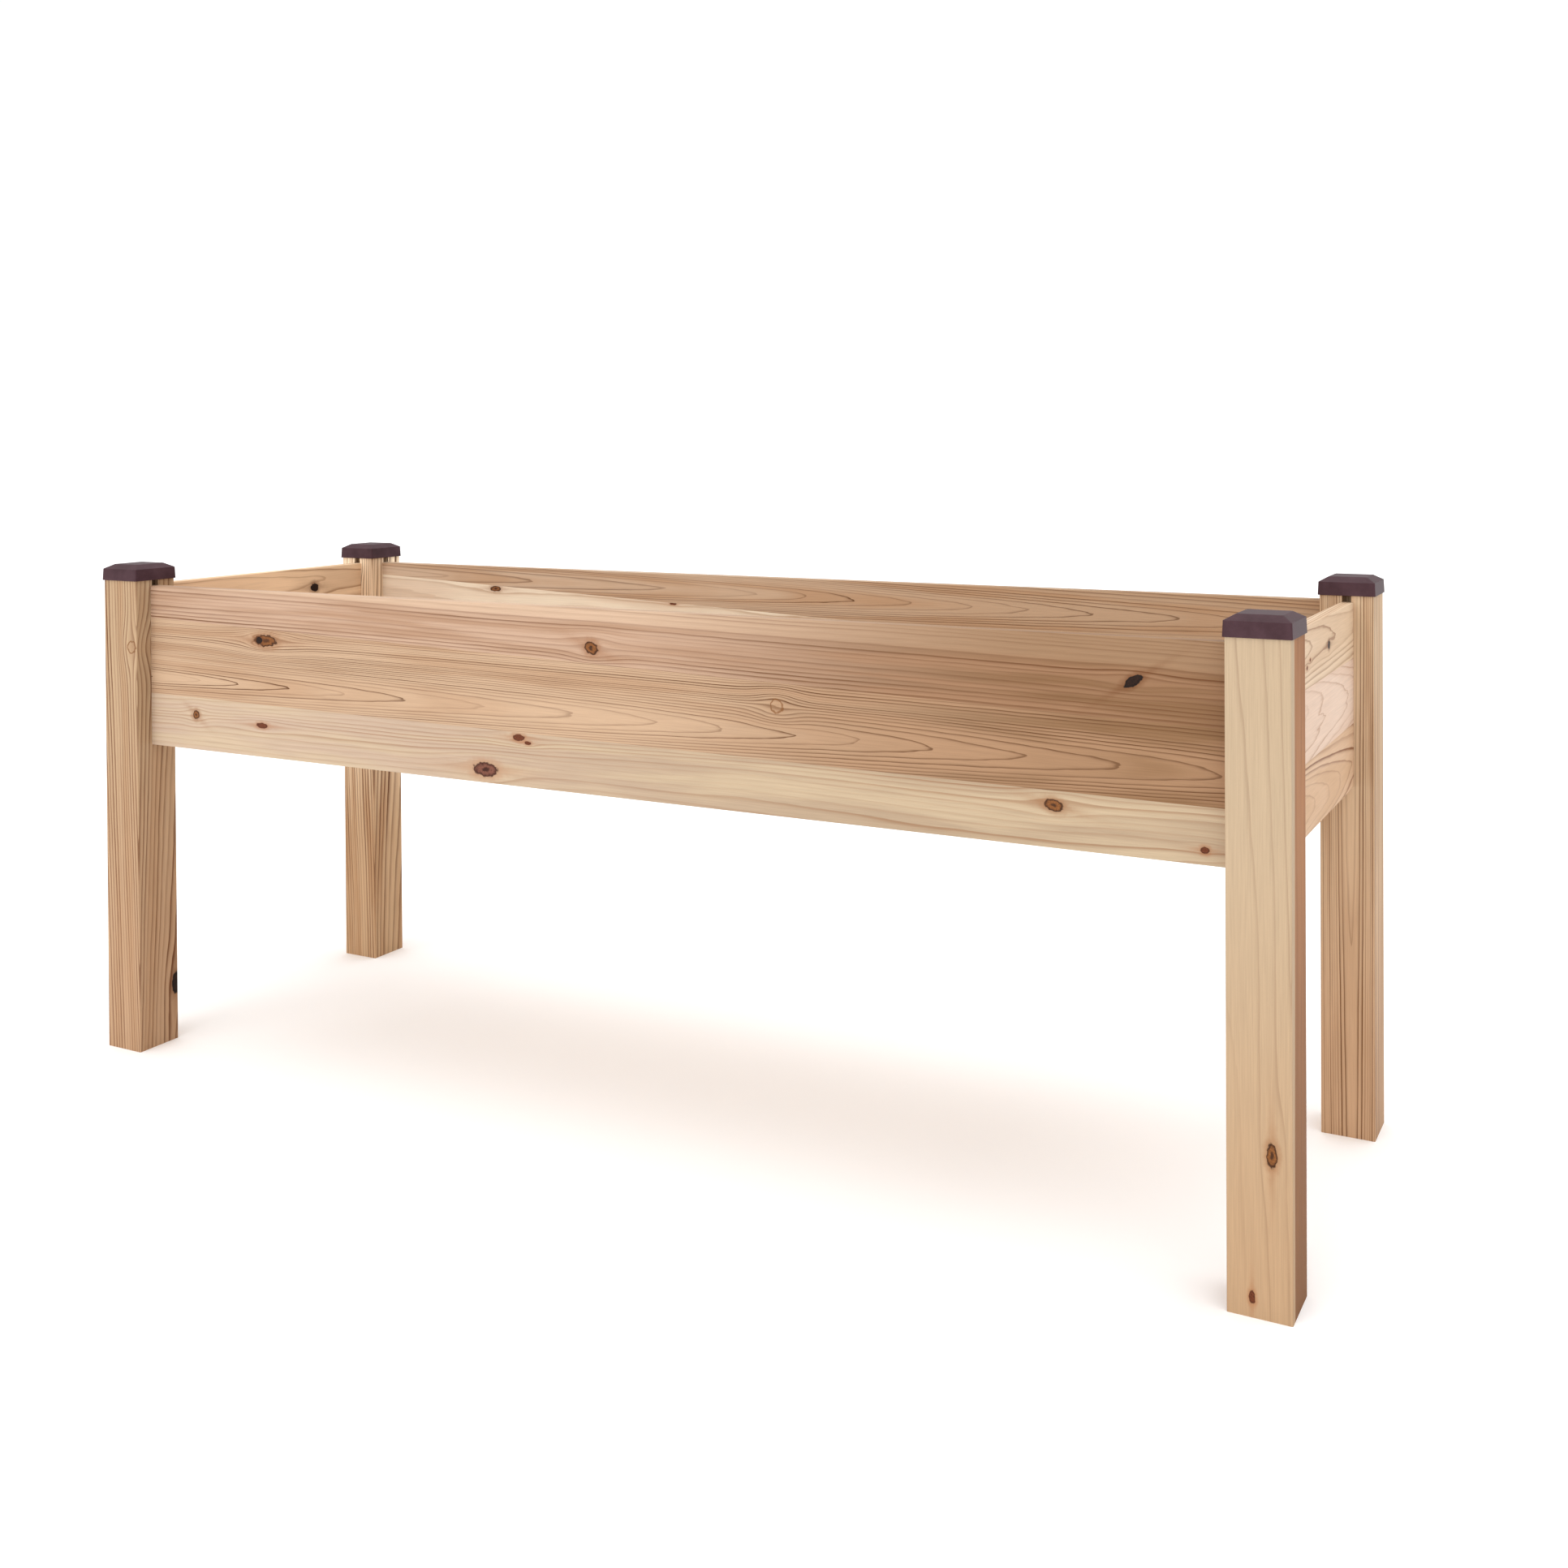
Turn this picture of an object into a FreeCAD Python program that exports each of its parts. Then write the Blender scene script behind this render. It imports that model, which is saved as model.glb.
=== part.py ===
import FreeCAD, Part
import os

from FreeCAD import Vector

# Raised planter: a bed of edge-joined cedar boards carried by four grooved legs with plastic caps.
# Millimetres. +X runs along the length to the right, +Y to the back, +Z up.
# The origin is on the ground at the centre of the footprint.

# Whole planter, over the legs and up to the top of the caps
planter_length = 1854.0
planter_width = 584.0
planter_height = 762.0

# Legs
leg_side = 72.0
leg_top = 754.0
leg_edge_round = 1.5
groove_width = 12.5
groove_depth = 19.0

# Walls: three boards each, edge to edge, with a tongue along both ends
panel_bottom = 478.0
panel_top = 728.0
panel_thickness = 18.0
tongue_thickness = 12.0
tongue_length = 18.0
shoulder_gap = 0.2
board_edge_round = 1.0

# Heights of the joints between the boards, above the wall's lower edge, at its two ends
front_joints = {"bottom": (81.5, 65.0), "top": (200.0, 152.5)}
back_joints = {"bottom": (96.0, 68.0), "top": (228.0, 156.0)}
end_joints = {"bottom": (87.0, 87.0), "top": (175.0, 175.0)}

# Ledgers, cross ties and floor slats
ledger_thickness = 25.0
ledger_height = 30.0
ledger_bottom = 480.0
ledger_end_gap = 1.0
tie_width = 60.0
tie_thickness = 15.0
tie_spacing = 430.0
slat_count = 19
slat_width = 88.0
slat_thickness = 15.0
slat_end_gap = 2.0
slat_notch_gap = 3.0
slat_edge_round = 1.0

# Countersunk screws
screw_radius = 2.0
screw_head_radius = 4.0
screw_head_height = 2.6
screw_tip_height = 5.0
ledger_screw_length = 38.0
tie_screw_length = 27.0
drive_slot_length = 4.4
drive_slot_width = 1.0
drive_slot_depth = 1.6
long_ledger_screws = 8
long_ledger_screw_span = 1560.0
end_ledger_screws = 3
end_ledger_screw_span = 300.0
tie_screw_spacing = 36.0

# Leg caps
cap_bottom = 737.0
cap_skirt_top = 755.2
cap_bottom_side = 76.6
cap_skirt_side = 75.0
cap_flat_side = 51.0
cap_fit_side = 72.6
cap_wall = 2.0
cap_corner_round = 2.0
cap_edge_round = 0.8
cap_rib_thickness = 1.6
cap_seat_gap = 0.3
cap_inner_top = 754.3
cap_ceiling = 759.6
cap_ceiling_side = 49.0

half_length = planter_length / 2
half_width = planter_width / 2
leg_x = half_length - leg_side / 2
leg_y = half_width - leg_side / 2
inner_x = leg_x - panel_thickness / 2
inner_y = leg_y - panel_thickness / 2
ledger_top = ledger_bottom + ledger_height
slat_top = ledger_top + slat_thickness


def block(x0, x1, y0, y1, z0, z1):
    return Part.makeBox(x1 - x0, y1 - y0, z1 - z0, Vector(x0, y0, z0))


def centred_block(length, width, z0, z1):
    return block(-length / 2, length / 2, -width / 2, width / 2, z0, z1)


def long_edges(shape, direction):
    """Straight edges that run the given way."""
    return [edge for edge in shape.Edges if abs(edge.tangentAt(edge.FirstParameter).dot(direction)) > 0.999]


def rounded(shape, radius, direction):
    return shape.makeFillet(radius, long_edges(shape, direction))


def turned(shape, angle):
    return shape.rotated(Vector(0, 0, 0), Vector(0, 0, 1), angle)


def save(node, shape):
    shape.exportStep("parts/" + node + ".step")


def corners():
    """Name, x side and y side of each corner."""
    for y_name, y_side in (("front", -1), ("back", 1)):
        for x_name, x_side in (("left", -1), ("right", 1)):
            yield y_name + "_" + x_name, x_side, y_side


def leg(x_side, y_side):
    """A square post with a stopped groove in each of its two inner faces, open at the top."""
    post = rounded(centred_block(leg_side, leg_side, 0, leg_top), leg_edge_round, Vector(0, 0, 1))
    half = leg_side / 2
    long_groove = block(half - groove_depth, half, -groove_width / 2, groove_width / 2, panel_bottom, leg_top)
    end_groove = block(-groove_width / 2, groove_width / 2, half - groove_depth, half, panel_bottom, leg_top)
    if x_side > 0:
        long_groove = turned(long_groove, 180)
    if y_side > 0:
        end_groove = turned(end_groove, 180)
    post = post.cut(long_groove).cut(end_groove)
    return post.translated(Vector(x_side * leg_x, y_side * leg_y, 0))


def wall(clear_length):
    """A whole wall that runs along X between two legs, centred on Y = 0."""
    face_length = clear_length - 2 * shoulder_gap
    body = centred_block(face_length, panel_thickness, panel_bottom, panel_top)
    body = rounded(body, board_edge_round, Vector(1, 0, 0))
    tongue = centred_block(clear_length + 2 * tongue_length, tongue_thickness, panel_bottom, panel_top)
    return body.fuse(tongue).removeSplitter()


def wall_boards(clear_length, joints):
    """The wall's three boards, parted along straight joint lines."""
    whole = wall(clear_length)
    reach = clear_length / 2 + tongue_length + 10
    rise = {}
    for name, (left, right) in joints.items():
        middle = (left + right) / 2
        slope = (right - left) / clear_length
        rise[name] = (panel_bottom + middle - slope * reach, panel_bottom + middle + slope * reach)
    rise["floor"] = (panel_bottom - 10, panel_bottom - 10)
    rise["sky"] = (panel_top + 10, panel_top + 10)
    spans = {"bottom": ("floor", "bottom"), "middle": ("bottom", "top"), "top": ("top", "sky")}
    boards = {}
    for name, (low, high) in spans.items():
        outline = Part.makePolygon([
            Vector(-reach, -panel_thickness, rise[low][0]),
            Vector(reach, -panel_thickness, rise[low][1]),
            Vector(reach, -panel_thickness, rise[high][1]),
            Vector(-reach, -panel_thickness, rise[high][0]),
            Vector(-reach, -panel_thickness, rise[low][0]),
        ])
        band = Part.Face(outline).extrude(Vector(0, 2 * panel_thickness, 0))
        boards[name] = whole.common(band).Solids[0]
    return boards


def screw_blank(length):
    """A countersunk screw without its drive, head at the origin, pointing along +Z."""
    tip_start = length - screw_tip_height
    outline = Part.makePolygon([
        Vector(0, 0, 0),
        Vector(screw_head_radius, 0, 0),
        Vector(screw_radius, 0, screw_head_height),
        Vector(screw_radius, 0, tip_start),
        Vector(0, 0, length),
        Vector(0, 0, 0),
    ])
    return Part.Face(outline).revolve(Vector(0, 0, 0), Vector(0, 0, 1), 360)


def screw(length):
    blank = screw_blank(length)
    slot = centred_block(drive_slot_length, drive_slot_width, 0, drive_slot_depth)
    cross_slot = centred_block(drive_slot_width, drive_slot_length, 0, drive_slot_depth)
    return blank.cut(slot).cut(cross_slot)


def placed(shape, point, direction):
    """The shape with its own +Z turned to the direction and its origin moved to the point."""
    turn = FreeCAD.Rotation(Vector(0, 0, 1), direction)
    result = shape.copy()
    result.Placement = FreeCAD.Placement(point, turn)
    return result


def spread(count, span):
    return [-span / 2 + span * i / (count - 1) for i in range(count)]


def drilled(shape, blank, points, direction):
    for point in points:
        shape = shape.cut(placed(blank, point, direction))
    return shape


def screw_group(one_screw, points, direction):
    return Part.makeCompound([placed(one_screw, point, direction) for point in points])


def square_wire(side, z):
    half = side / 2
    return Part.makePolygon([
        Vector(-half, -half, z),
        Vector(half, -half, z),
        Vector(half, half, z),
        Vector(-half, half, z),
        Vector(-half, -half, z),
    ])


def tapered_block(low_side, low_z, high_side, high_z):
    return Part.makeLoft([square_wire(low_side, low_z), square_wire(high_side, high_z)], True, True)


def cap():
    """A hollow plastic cap: drafted skirt, wide chamfer, flat top, and crossed seat ribs inside."""
    skirt = tapered_block(cap_bottom_side, cap_bottom, cap_skirt_side, cap_skirt_top)
    roof = tapered_block(cap_skirt_side, cap_skirt_top, cap_flat_side, planter_height)
    outside = skirt.fuse(roof).removeSplitter()
    upright = [edge for edge in outside.Edges if is_skirt_corner(edge)]
    outside = outside.makeFillet(cap_corner_round, upright)
    socket = centred_block(cap_fit_side, cap_fit_side, cap_bottom, cap_inner_top)
    vault = tapered_block(cap_fit_side, cap_inner_top, cap_ceiling_side, cap_ceiling)
    shell = outside.cut(socket.fuse(vault))
    seat = leg_top + cap_seat_gap
    rib = centred_block(cap_ceiling_side, cap_rib_thickness, seat, cap_ceiling)
    shell = shell.fuse(rib).fuse(turned(rib, 90)).removeSplitter()
    return shell


def is_skirt_corner(edge):
    """True for the four near-upright corner edges of the skirt."""
    direction = edge.tangentAt(edge.FirstParameter)
    return abs(direction.z) > 0.9


def floor_slat(index):
    """One loose slat; the first and last are notched round the legs."""
    usable = 2 * inner_x - 2 * slat_end_gap
    pitch = (usable - slat_width) / (slat_count - 1)
    x0 = -usable / 2 + index * pitch
    reach = inner_y - slat_end_gap
    slat = block(x0, x0 + slat_width, -reach, reach, ledger_top, slat_top)
    slat = rounded(slat, slat_edge_round, Vector(0, 1, 0))
    notch_x = leg_x - leg_side / 2 - slat_notch_gap
    notch_y = leg_y - leg_side / 2 - slat_notch_gap
    for _, x_side, y_side in corners():
        notch = centred_block(2 * leg_side, 2 * leg_side, ledger_bottom, slat_top + 10)
        notch = notch.translated(Vector(x_side * (notch_x + leg_side), y_side * (notch_y + leg_side), 0))
        slat = slat.cut(notch)
    return slat


def long_ledger(side):
    """A rail inside a long wall, notched from below for the cross ties."""
    length = 2 * (leg_x - leg_side / 2 - ledger_end_gap)
    outer = inner_y
    rail = block(-length / 2, length / 2, outer - ledger_thickness, outer, ledger_bottom, ledger_top)
    for x in tie_positions():
        notch = block(x - tie_width / 2, x + tie_width / 2, 0, half_width, 0, ledger_bottom + tie_thickness)
        rail = rail.cut(notch)
    return turned(rail, 180) if side < 0 else rail


def end_ledger(side):
    length = 2 * (leg_y - leg_side / 2 - ledger_end_gap)
    rail = block(inner_x - ledger_thickness, inner_x, -length / 2, length / 2, ledger_bottom, ledger_top)
    return turned(rail, 180) if side < 0 else rail


def tie_positions():
    return [-tie_spacing, 0.0, tie_spacing]


def cross_tie(x):
    reach = inner_y - ledger_end_gap
    return block(x - tie_width / 2, x + tie_width / 2, -reach, reach, ledger_bottom, ledger_bottom + tie_thickness)


os.makedirs("parts", exist_ok=True)

for corner, x_side, y_side in corners():
    save("leg_" + corner, leg(x_side, y_side))
    save("cap_" + corner, cap().translated(Vector(x_side * leg_x, y_side * leg_y, 0)))

long_clear = 2 * (leg_x - leg_side / 2)
end_clear = 2 * (leg_y - leg_side / 2)
ledger_blank = screw_blank(ledger_screw_length)
ledger_screw = screw(ledger_screw_length)
ledger_screw_z = ledger_bottom + ledger_height / 2

tie_blank = screw_blank(tie_screw_length)
tie_points = [
    Vector(x + dx, y_side * (inner_y - ledger_thickness / 2), ledger_bottom)
    for x in tie_positions()
    for dx in (-tie_screw_spacing / 2, tie_screw_spacing / 2)
    for y_side in (-1, 1)
]
up = Vector(0, 0, 1)

for name, side, joints in (("front", -1, front_joints), ("back", 1, back_joints)):
    direction = Vector(0, side, 0)
    head_y = side * (inner_y - ledger_thickness)
    points = [Vector(x, head_y, ledger_screw_z) for x in spread(long_ledger_screws, long_ledger_screw_span)]
    for board_name, board in wall_boards(long_clear, joints).items():
        board = board.translated(Vector(0, side * leg_y, 0))
        if board_name == "bottom":
            board = drilled(board, ledger_blank, points, direction)
        save(name + "_board_" + board_name, board)
    rail = drilled(long_ledger(side), ledger_blank, points, direction)
    save("ledger_" + name, drilled(rail, tie_blank, tie_points, up))
    save("ledger_screws_" + name, screw_group(ledger_screw, points, direction))

for name, side in (("left", -1), ("right", 1)):
    direction = Vector(side, 0, 0)
    head_x = side * (inner_x - ledger_thickness)
    points = [Vector(head_x, y, ledger_screw_z) for y in spread(end_ledger_screws, end_ledger_screw_span)]
    for board_name, board in wall_boards(end_clear, end_joints).items():
        board = turned(board, 90).translated(Vector(side * leg_x, 0, 0))
        if board_name == "bottom":
            board = drilled(board, ledger_blank, points, direction)
        save(name + "_board_" + board_name, board)
    save("ledger_" + name, drilled(end_ledger(side), ledger_blank, points, direction))
    save("ledger_screws_" + name, screw_group(ledger_screw, points, direction))

for name, x in zip(("left", "middle", "right"), tie_positions()):
    save("cross_tie_" + name, drilled(cross_tie(x), tie_blank, tie_points, up))
save("tie_screws", screw_group(screw(tie_screw_length), tie_points, up))

for index in range(slat_count):
    save("floor_slat_%02d" % (index + 1), floor_slat(index))
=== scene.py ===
import math
from functools import partial

import bmesh
import bpy
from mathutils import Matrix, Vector


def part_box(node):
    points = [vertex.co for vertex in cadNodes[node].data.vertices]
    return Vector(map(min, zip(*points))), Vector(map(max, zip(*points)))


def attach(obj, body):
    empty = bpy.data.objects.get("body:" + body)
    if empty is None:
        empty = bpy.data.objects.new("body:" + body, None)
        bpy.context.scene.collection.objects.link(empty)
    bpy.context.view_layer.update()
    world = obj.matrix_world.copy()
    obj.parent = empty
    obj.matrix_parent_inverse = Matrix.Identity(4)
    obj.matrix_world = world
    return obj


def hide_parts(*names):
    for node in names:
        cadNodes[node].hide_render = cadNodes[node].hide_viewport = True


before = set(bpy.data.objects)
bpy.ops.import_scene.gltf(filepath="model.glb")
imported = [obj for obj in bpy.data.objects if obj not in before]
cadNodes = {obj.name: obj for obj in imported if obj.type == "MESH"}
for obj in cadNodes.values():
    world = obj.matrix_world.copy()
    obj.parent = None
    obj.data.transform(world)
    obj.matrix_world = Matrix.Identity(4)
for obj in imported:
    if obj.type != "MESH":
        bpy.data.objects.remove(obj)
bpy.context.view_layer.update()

cornerNames = ["front_left", "front_right", "back_left", "back_right"]
boardNames = ["top", "middle", "bottom"]
perMetre = 1000          # the frame is in metres, and the wood's pattern in millimetres
quarterTurn = math.pi / 2


def linear(hexColour):
    # sRGB hex to the linear colour that shaders use
    channels = [int(hexColour[i:i + 2], 16) / 255 for i in (1, 3, 5)]
    return [c / 12.92 if c <= 0.04045 else ((c + 0.055) / 1.055) ** 2.4 for c in channels] + [1.0]


def addNode(tree, kind, links=None, **settings):
    # links: input name or number -> a node (its first live output), a socket, or a value
    made = tree.nodes.new(kind if kind.startswith("Node") else "ShaderNode" + kind)
    for key, value in settings.items():
        setattr(made, key, value)
    for key, value in (links or {}).items():
        if isinstance(value, bpy.types.Node):
            value = next(output for output in value.outputs if output.enabled)
        if isinstance(value, bpy.types.NodeSocket):
            tree.links.new(value, made.inputs[key])
        else:
            made.inputs[key].default_value = value
    return made


def newGroup(name, inputs, outputs):
    # a node group, and the sockets that bring its inputs in
    group = bpy.data.node_groups.new(name, "ShaderNodeTree")
    for socketName, value in inputs.items():
        kind = "Float" if isinstance(value, float) else ("Vector" if len(value) == 3 else "Color")
        socket = group.interface.new_socket(socketName, in_out="INPUT", socket_type="NodeSocket" + kind)
        socket.default_value = value
    for socketName, kind in outputs.items():
        group.interface.new_socket(socketName, in_out="OUTPUT", socket_type="NodeSocket" + kind)
    return group, addNode(group, "NodeGroupInput").outputs


def newMaterial(name):
    material = bpy.data.materials.new(name)
    material.use_nodes = True
    material.node_tree.nodes.clear()
    return material, material.node_tree


def finishWith(material, *names):
    for name in names:
        for slot in cadNodes[name].material_slots:
            slot.material = material


# Cedar as a solid: growth rings are cones round a pith line, so faces, edges and ends agree.
# All lengths in the wood are millimetres, in the board's own frame: X along the grain.
# Most of the ring widths below are wider than real cedar's, so that the lines show.
ringLook = {
    # slow waves half a metre long, quick wobbles at the arches' tips, and fibre streaks, which are
    # finer on real wood and drawn coarse so that they show
    "slow": {"stretch": (1 / 520, 1 / 60, 1 / 60), "detail": 1.5, "gain": 4.0},
    "quick": {"stretch": (1 / 60, 1 / 8, 1 / 8), "detail": 2.0, "gain": 2.0},
    "fibre": {"stretch": (1 / 60, 1 / 1.3, 1 / 1.3), "detail": 3.0},
    "bandLength": 30.0, "bandAmount": 2.4,        # rings crowd and open over about this many millimetres
    # share of the year's growth: how dark the wood is there
    "yearProfile": {0.0: 0.0, 0.30: 0.04, 0.60: 0.30, 0.82: 1.0, 0.96: 1.0, 1.0: 0.3},
    "tipShare": 0.14, "tipSlope": 0.6,            # late wood thins where the face lies flat to its rings
    "weakestYear": 0.22,                          # the faintest year's line, where the strongest is 1
    "clearFrom": (0.36, 0.62), "clearTo": (0.55, 1.1),      # lines come and go along the board
}


def makeRings():
    group, given = newGroup("growthRings", {
        "Position": (0, 0, 0), "Push": (0, 0, 0), "Pith Y": 60.0, "Pith Z": 0.0, "Lean Y": 0.0, "Lean Z": 0.0,
        "Ring Width": 3.0, "Wander": 3.0, "Wobble": 0.8, "Squeeze": 1.0, "Seed": 0.0,
    }, {"Line": "Float", "Radius": "Float", "Fibre": "Float"})
    add = partial(addNode, group)
    noises = {}
    for name in ("slow", "quick", "fibre"):
        spread = add("VectorMath", {0: given["Position"], 1: ringLook[name]["stretch"]}, operation="MULTIPLY")
        noises[name] = add("TexNoise", {
            "Vector": spread, "W": given["Seed"], "Scale": 1.0, "Detail": ringLook[name]["detail"],
        }, noise_dimensions="4D")
    # how far a place is from the leaning pith line
    pushed = add("VectorMath", {0: given["Position"], 1: given["Push"]}, operation="SUBTRACT")
    place = add("SeparateXYZ", {0: pushed}).outputs
    pithY = add("Math", {0: place[0], 1: given["Lean Y"], 2: given["Pith Y"]}, operation="MULTIPLY_ADD")
    pithZ = add("Math", {0: place[0], 1: given["Lean Z"], 2: given["Pith Z"]}, operation="MULTIPLY_ADD")
    acrossY = add("Math", {0: place[1], 1: pithY}, operation="SUBTRACT")
    acrossZ = add("Math", {0: place[2], 1: pithZ}, operation="SUBTRACT")
    acrossZ = add("Math", {0: acrossZ, 1: given["Squeeze"]}, operation="MULTIPLY")
    flat = add("CombineXYZ", {1: acrossY, 2: acrossZ})
    radius = add("VectorMath", {0: flat}, operation="LENGTH")
    steep = add("Math", {0: add("Math", {0: acrossZ}, operation="ABSOLUTE"), 1: radius}, operation="DIVIDE")
    opened = add("MapRange", {
        "Value": steep, "From Max": ringLook["tipSlope"], "To Min": ringLook["tipShare"], "To Max": 1.0,
    })
    for name, amount in (("slow", given["Wander"]), ("quick", given["Wobble"])):
        swing = add("Math", {0: noises[name], 1: -0.5}, operation="ADD")        # noise swings about a half
        reach = add("Math", {0: amount, 1: ringLook[name]["gain"]}, operation="MULTIPLY")
        radius = add("Math", {0: swing, 1: reach, 2: radius}, operation="MULTIPLY_ADD")
    # years counted outwards: each has its own strength, and its late wood comes last
    bandPlace = add("Math", {0: radius, 1: 1 / ringLook["bandLength"], 2: given["Seed"]},
                    operation="MULTIPLY_ADD")
    band = add("TexNoise", {"W": bandPlace, "Scale": 1.0, "Detail": 0.0}, noise_dimensions="1D")
    years = add("Math", {0: radius, 1: given["Ring Width"]}, operation="DIVIDE")
    phase = add("Math", {0: band, 1: ringLook["bandAmount"], 2: years}, operation="MULTIPLY_ADD")
    year = add("Math", {0: add("Math", {0: phase}, operation="FLOOR"), 1: given["Seed"]}, operation="ADD")
    luck = add("TexWhiteNoise", {"W": year}, noise_dimensions="1D")
    strength = add("MapRange", {"Value": luck, "To Min": ringLook["weakestYear"], "To Max": 1.0})
    late = add("Math", {0: add("Math", {0: phase}, operation="FRACT"), 1: -1.0}, operation="ADD")
    late = add("Math", {0: add("Math", {0: late, 1: opened}, operation="DIVIDE"), 1: 1.0}, operation="ADD")
    latewood = add("ValToRGB", {0: late})
    ramp = latewood.color_ramp
    while len(ramp.elements) < len(ringLook["yearProfile"]):
        ramp.elements.new(0.5)
    for stop, (at, grey) in zip(ramp.elements, ringLook["yearProfile"].items()):
        stop.position = at
        stop.color = (grey, grey, grey, 1)
    clear = add("MapRange", {
        "Value": noises["slow"], "From Min": ringLook["clearFrom"][0], "From Max": ringLook["clearFrom"][1],
        "To Min": ringLook["clearTo"][0], "To Max": ringLook["clearTo"][1],
    })
    strength = add("Math", {0: strength, 1: clear}, operation="MULTIPLY")
    line = add("Math", {0: latewood, 1: strength}, operation="MULTIPLY")
    add("NodeGroupOutput", {"Line": line, "Radius": radius, "Fibre": noises["fibre"]})
    return group


# Knots: a stain, a heart with fine rings and an eye, and a rim. Reach, bands, fades and ripples go by
# half sizes of the knot, and the noise scales by millimetres.
through = 1e6            # the half size, in millimetres, of a knot that goes right through the wood
knotLook = {
    "reach": 2.2,                                                     # how far out the rings part
    "roughScale": 0.16, "roughDetail": 3.0, "jitter": (0.8, 0.0, 0.8),      # an uneven outline
    "bands": {"near": (2.3, 0.9), "inside": (1.04, 0.90), "eye": (0.42, 0.16),
              "rimIn": (0.70, 0.92), "rimOut": (1.14, 0.96)},         # where each share is 0 and where 1
    "tailFade": 0.45, "tailNarrow": 1.6, "roundStain": 0.7,
    "speckleScale": 0.6, "speckleDetail": 2.0, "speckleFrom": (0.3, 0.7), "speckleTo": (0.6, 1.35),
    "ripplePitch": 15.0, "rippleDepth": 0.14,
}
# The kinds of knot that this cedar has: a loose dark one, a sound brown one, a plum one, a pin knot
# and the faint ring of a branch that was cut flush
knotKinds = {
    "dark": {"Heart": "#24120a", "Rim": "#120805", "Halo": "#673a1b",
             "Fill": 1.0, "Rim Amount": 0.9, "Halo Amount": 0.85, "Eye": 0.3},
    "brown": {"Heart": "#78471f", "Rim": "#260f05", "Halo": "#8a5225",
              "Fill": 0.92, "Rim Amount": 0.85, "Halo Amount": 0.75, "Eye": 0.9},
    "plum": {"Heart": "#704537", "Rim": "#34150e", "Halo": "#a0643a",
             "Fill": 1.0, "Rim Amount": 0.85, "Halo Amount": 0.65, "Eye": 0.9},
    "pin": {"Heart": "#5e2b14", "Rim": "#3a170a", "Halo": "#9c6036",
            "Fill": 0.95, "Rim Amount": 0.5, "Halo Amount": 0.80, "Eye": 0.0},
    "ring": {"Heart": "#ab7d53", "Rim": "#74471f", "Halo": "#b08056",
             "Fill": 0.12, "Rim Amount": 0.75, "Halo Amount": 0.12, "Eye": 0.5},
}


def makeKnotPush():
    # Rings part round a knot: places near it are drawn towards its middle, across the grain only
    group, given = newGroup("knotPush", {
        "Position": (0, 0, 0), "Centre": (0, 0, 0), "Size": (10, through, 6), "Across": (0, 0, 1),
        "Reach": knotLook["reach"], "Push": (0, 0, 0),
    }, {"Push": "Vector"})
    add = partial(addNode, group)
    apart = add("VectorMath", {0: given["Position"], 1: given["Centre"]}, operation="SUBTRACT")
    shape = add("VectorMath", {0: apart, 1: given["Size"]}, operation="DIVIDE")
    far = add("VectorMath", {0: shape}, operation="LENGTH")
    scaled = add("Math", {0: far, 1: given["Reach"]}, operation="DIVIDE")
    square = add("Math", {0: scaled, 1: scaled}, operation="MULTIPLY")
    fade = add("Math", {0: math.exp(-1), 1: square}, operation="POWER")         # a bell curve
    amount = add("VectorMath", {0: given["Across"], "Scale": fade}, operation="SCALE")
    push = add("VectorMath", {0: apart, 1: amount, 2: given["Push"]}, operation="MULTIPLY_ADD")
    add("NodeGroupOutput", {"Push": push})
    return group


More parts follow.
